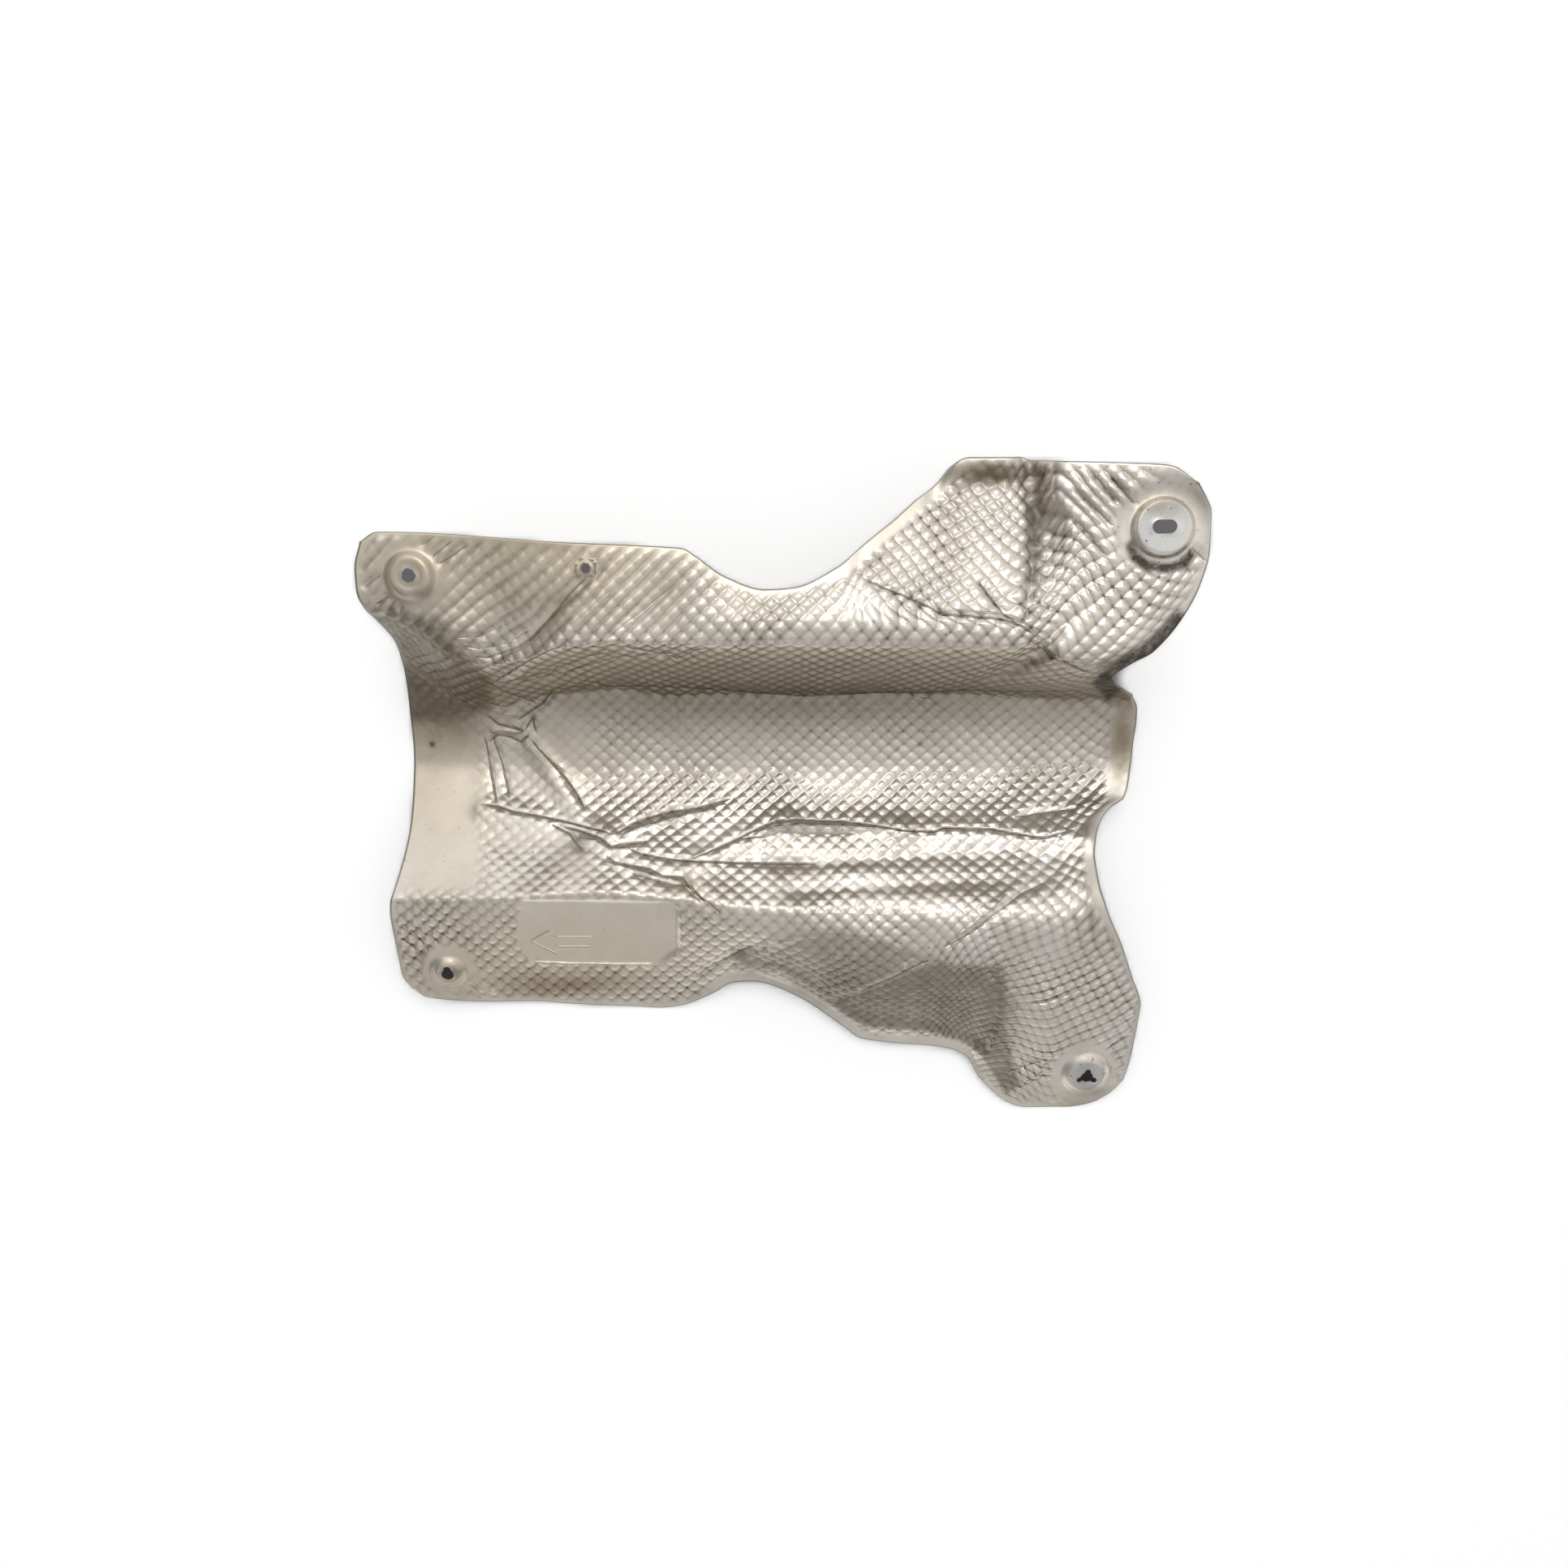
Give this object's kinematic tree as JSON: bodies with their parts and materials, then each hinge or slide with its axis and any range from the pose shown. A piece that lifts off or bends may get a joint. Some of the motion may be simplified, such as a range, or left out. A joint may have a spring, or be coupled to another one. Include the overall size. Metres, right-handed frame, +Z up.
{
  "type": "heat shield",
  "caption": "Pressed sheet that shields a hot pipe: embossed channel with a steep wall, a low ridge, and flanges with raised bolt bosses.",
  "frame": {"origin": "under the middle of the outline seen from above, at the level of the sheet's lowest point", "axes": "+X along the channel to the end with the tall corner flange, +Y across the channel to the high flange, +Z up out of the channel"},
  "size_m": [0.3436, 0.2868, 0.0734],
  "materials": {
    "sheet": "embossed satin aluminium, lightly stained"
  },
  "bodies": {
    "root": {"heat_shield": "sheet"}
  },
  "joints": []
}
